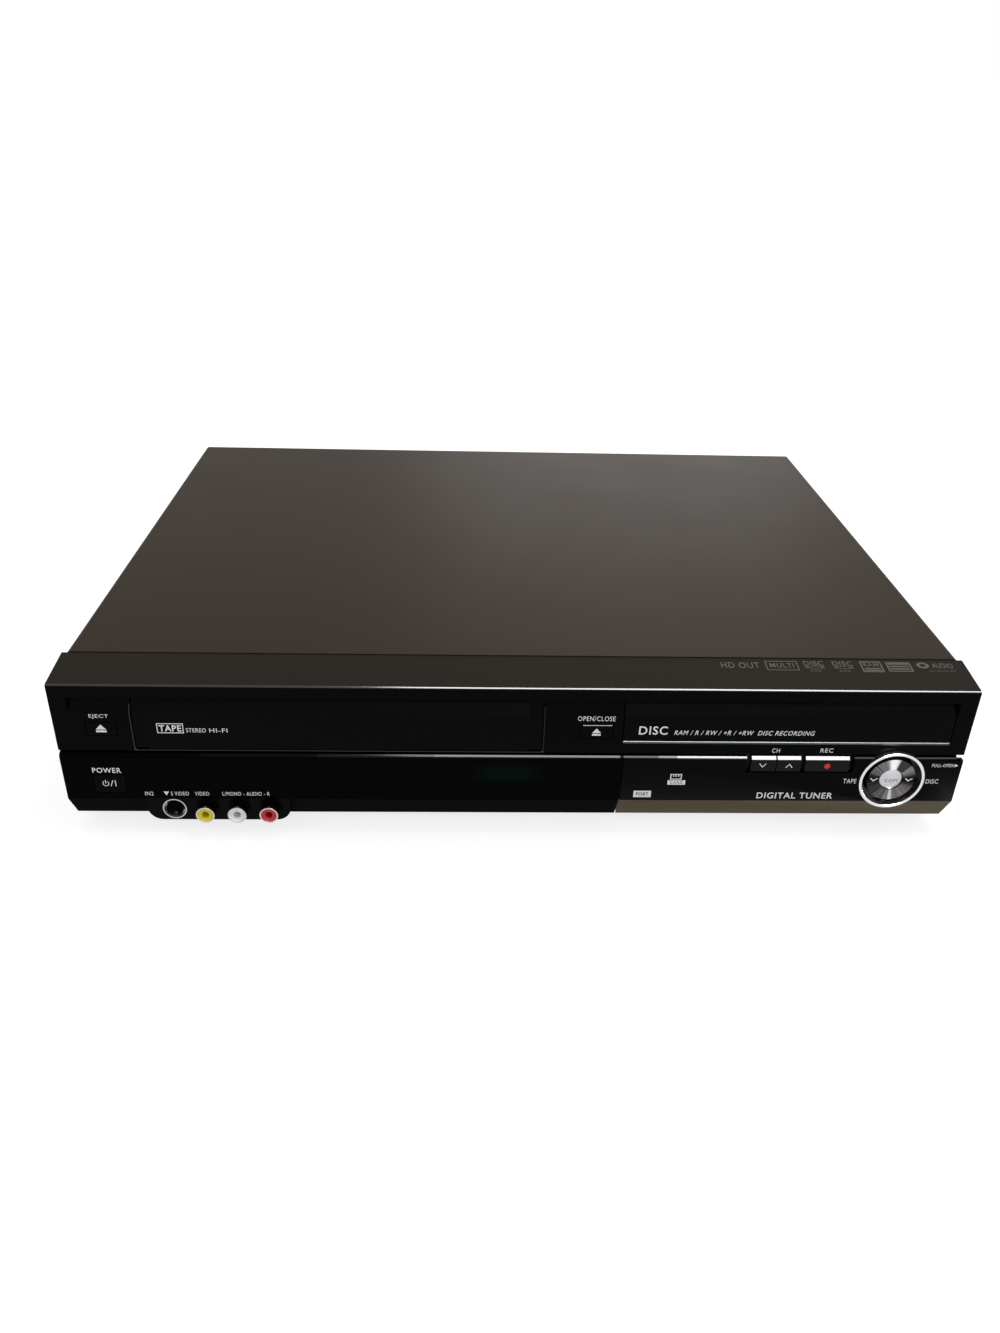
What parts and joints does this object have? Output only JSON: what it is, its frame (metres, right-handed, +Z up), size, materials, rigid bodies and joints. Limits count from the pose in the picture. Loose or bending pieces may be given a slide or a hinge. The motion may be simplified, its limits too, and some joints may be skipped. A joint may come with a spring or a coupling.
{
  "type": "disc recorder and video cassette player",
  "caption": "Black home video deck with a front-loading cassette flap, a disc tray, a flip-down door with a metal dial, and front and rear sockets.",
  "frame": {"origin": "on the table under the middle of the cabinet's outer box", "axes": "+X to the right seen from the front, +Y to the back, +Z up"},
  "size_m": [0.43, 0.349, 0.086],
  "materials": {
    "cover_paint": "satin near-black paint on folded steel",
    "zinc_steel": "bright zinc-plated steel",
    "rear_steel": "dark grey coated steel",
    "feet_rubber": "matt black moulded feet",
    "screw_black": "blackened steel",
    "bezel_plastic": "satin black moulding",
    "gloss_black": "polished black acrylic",
    "key_plastic": "semi-gloss dark grey",
    "display_glass": "tinted display tube in its holder",
    "board": "paper-phenolic circuit board",
    "board_green": "green solder-masked circuit board",
    "chrome": "bright plated",
    "jack_plastic": "yellow, white, red and other coloured inserts",
    "spun_alloy": "radially brushed",
    "spring_steel": "drawn wire",
    "inner_black": "black engineering plastic",
    "white_acetal": "natural acetal",
    "motor_can": "plated motor can",
    "cast_alloy": "machined die casting",
    "roller_rubber": "ground rubber",
    "ground_steel": "ground and polished"
  },
  "bodies": {
    "cabinet": {"top_cover": "cover_paint", "chassis_pan": "zinc_steel", "rear_panel": "rear_steel", "feet": "feet_rubber", "cover_screws": "screw_black", "front_bezel": "bezel_plastic", "lower_panel": "gloss_black", "display_module": "display_glass", "front_board": "board", "jack_holder": "gloss_black", "svideo_sockets": "chrome", "rca_sleeves": "chrome", "jack_inserts": "jack_plastic", "sub_panel": "bezel_plastic", "front_ports": "chrome", "flap_spring": "spring_steel", "drive_housing": "inner_black", "disc_clamp": "white_acetal", "loading_motor": "motor_can", "deck_plate": "zinc_steel", "side_guides": "zinc_steel", "drum_base": "cast_alloy", "tape_heads": "cast_alloy", "mode_motor": "motor_can", "power_board": "board", "main_board": "board_green", "fan_frame": "inner_black", "rear_jack_block": "inner_black", "ac_inlet": "inner_black"},
    "tray": {"tray_front": "gloss_black", "tray_trim": "chrome", "disc_tray": "inner_black"},
    "loading_gear": {"loading_gear": "white_acetal"},
    "flap": {"vhs_flap": "bezel_plastic"},
    "door": {"front_door": "gloss_black", "dial_ring": "chrome"},
    "power_button": {"power_button": "gloss_black"},
    "eject_button": {"eject_button": "gloss_black"},
    "open_close_button": {"open_close_button": "gloss_black"},
    "ch_down_button": {"ch_down_button": "key_plastic"},
    "ch_up_button": {"ch_up_button": "key_plastic"},
    "rec_button": {"rec_button": "key_plastic"},
    "dial": {"dial": "spun_alloy", "dial_cap": "spun_alloy"},
    "head_drum": {"head_drum": "ground_steel"},
    "capstan": {"capstan": "ground_steel"},
    "supply_reel": {"supply_reel": "white_acetal"},
    "take_up_reel": {"take_up_reel": "white_acetal"},
    "pinch_arm": {"pinch_arm": "zinc_steel"},
    "pinch_roller": {"pinch_roller": "roller_rubber"},
    "take_up_post": {"take_up_post": "ground_steel"},
    "supply_post": {"supply_post": "ground_steel"},
    "cam_gear": {"cam_gear": "white_acetal"},
    "holder_carriage": {"holder_carriage": "white_acetal"},
    "cassette_holder": {"cassette_holder": "zinc_steel"},
    "traverse_frame": {"traverse_frame": "zinc_steel"},
    "turntable": {"turntable": "inner_black"},
    "pickup_sled": {"pickup_sled": "cast_alloy"},
    "lead_screw": {"lead_screw": "ground_steel"},
    "fan_rotor": {"fan_rotor": "inner_black"}
  },
  "joints": [
    {"name": "tray_slide", "type": "slide", "parent": "cabinet", "child": "tray", "axis": [0, -1, 0], "range_m": [0, 0.14]},
    {"name": "loading_gear_spin", "type": "hinge", "parent": "cabinet", "child": "loading_gear", "pos_m": [0.0886, -0.1459, 0.055], "axis": [0, 0, 1], "range_deg": [0, 645]},
    {"name": "flap_hinge", "type": "hinge", "parent": "cabinet", "child": "flap", "pos_m": [-0.084, -0.1619, 0.079], "axis": [1, 0, 0], "range_deg": [0, 93], "stiffness_Nm_per_rad": 0.004, "springref_deg": -28.65},
    {"name": "door_hinge", "type": "hinge", "parent": "cabinet", "child": "door", "pos_m": [0.13, -0.1584, 0.014], "axis": [1, 0, 0], "range_deg": [0, 85]},
    {"name": "power_press", "type": "slide", "parent": "cabinet", "child": "power_button", "axis": [0, 1, 0], "range_m": [0, 0.0008], "stiffness_N_per_m": 400, "springref_m": -0.0008},
    {"name": "eject_press", "type": "slide", "parent": "cabinet", "child": "eject_button", "axis": [0, 1, 0], "range_m": [0, 0.0008], "stiffness_N_per_m": 400, "springref_m": -0.0008},
    {"name": "open_close_press", "type": "slide", "parent": "cabinet", "child": "open_close_button", "axis": [0, 1, 0], "range_m": [0, 0.0008], "stiffness_N_per_m": 400, "springref_m": -0.0008},
    {"name": "ch_down_press", "type": "slide", "parent": "cabinet", "child": "ch_down_button", "axis": [0, 1, 0], "range_m": [0, 0.0008], "stiffness_N_per_m": 400, "springref_m": -0.0008},
    {"name": "ch_up_press", "type": "slide", "parent": "cabinet", "child": "ch_up_button", "axis": [0, 1, 0], "range_m": [0, 0.0008], "stiffness_N_per_m": 400, "springref_m": -0.0008},
    {"name": "rec_press", "type": "slide", "parent": "cabinet", "child": "rec_button", "axis": [0, 1, 0], "range_m": [0, 0.0008], "stiffness_N_per_m": 400, "springref_m": -0.0008},
    {"name": "dial_rock", "type": "hinge", "parent": "cabinet", "child": "dial", "pos_m": [0.1818, -0.1614, 0.0335], "axis": [0, 0, 1], "range_deg": [-2.5, 2.5], "stiffness_Nm_per_rad": 0.3},
    {"name": "drum_spin", "type": "hinge", "parent": "cabinet", "child": "head_drum", "pos_m": [-0.084, 0.0401, 0.0215], "axis": [0, -0.1045, 0.9945], "continuous": true},
    {"name": "capstan_spin", "type": "hinge", "parent": "cabinet", "child": "capstan", "pos_m": [-0.022, -0.0179, 0.02], "axis": [0, 0, 1], "continuous": true},
    {"name": "supply_reel_spin", "type": "hinge", "parent": "cabinet", "child": "supply_reel", "pos_m": [-0.13, -0.0619, 0.022], "axis": [0, 0, 1], "continuous": true},
    {"name": "take_up_reel_spin", "type": "hinge", "parent": "cabinet", "child": "take_up_reel", "pos_m": [-0.038, -0.0619, 0.022], "axis": [0, 0, 1], "continuous": true},
    {"name": "pinch_swing", "type": "hinge", "parent": "cabinet", "child": "pinch_arm", "pos_m": [0, 0.0041, 0.024], "axis": [0, 0, 1], "range_deg": [0, 30]},
    {"name": "pinch_roller_spin", "type": "hinge", "parent": "pinch_arm", "child": "pinch_roller", "pos_m": [-0.02589, 0.00333, 0.04], "axis": [0, 0, 1], "continuous": true},
    {"name": "take_up_post_travel", "type": "hinge", "parent": "cabinet", "child": "take_up_post", "pos_m": [-0.084, 0.0401, 0.0215], "axis": [0, 0, 1], "range_deg": [0, 85]},
    {"name": "supply_post_travel", "type": "hinge", "parent": "cabinet", "child": "supply_post", "pos_m": [-0.084, 0.0401, 0.0215], "axis": [0, 0, 1], "range_deg": [-85, 0]},
    {"name": "cam_turn", "type": "hinge", "parent": "cabinet", "child": "cam_gear", "pos_m": [-0.157, 0.0641, 0.022], "axis": [0, 0, 1], "range_deg": [0, 256]},
    {"name": "carriage_slide", "type": "slide", "parent": "cabinet", "child": "holder_carriage", "axis": [0, 1, 0], "range_m": [0, 0.052]},
    {"name": "holder_drop", "type": "slide", "parent": "holder_carriage", "child": "cassette_holder", "axis": [0, 0, -1], "range_m": [0, 0.0195]},
    {"name": "traverse_lift", "type": "hinge", "parent": "cabinet", "child": "traverse_frame", "pos_m": [0.1276, 0.0001, 0.049], "axis": [-1, 0, 0], "range_deg": [0, 5]},
    {"name": "disc_spin", "type": "hinge", "parent": "traverse_frame", "child": "turntable", "pos_m": [0.1276, -0.0859, 0.0526], "axis": [0, 0, 1], "continuous": true},
    {"name": "sled_slide", "type": "slide", "parent": "traverse_frame", "child": "pickup_sled", "axis": [0, 1, 0], "range_m": [0, 0.034]},
    {"name": "lead_screw_turn", "type": "hinge", "parent": "traverse_frame", "child": "lead_screw", "pos_m": [0.1526, -0.0789, 0.0514], "axis": [0, 1, 0], "range_deg": [0, 1030]},
    {"name": "fan_spin", "type": "hinge", "parent": "cabinet", "child": "fan_rotor", "pos_m": [-0.07, 0.1551, 0.044], "axis": [0, 1, 0], "continuous": true}
  ],
  "couplings": [
    {"joint": "loading_gear_spin", "follows": "tray_slide", "rad_per_m": 80},
    {"joint": "supply_post_travel", "follows": "take_up_post_travel", "ratio": -1},
    {"joint": "cam_turn", "follows": "take_up_post_travel", "ratio": 3},
    {"joint": "lead_screw_turn", "follows": "sled_slide", "rad_per_m": 523.6}
  ]
}
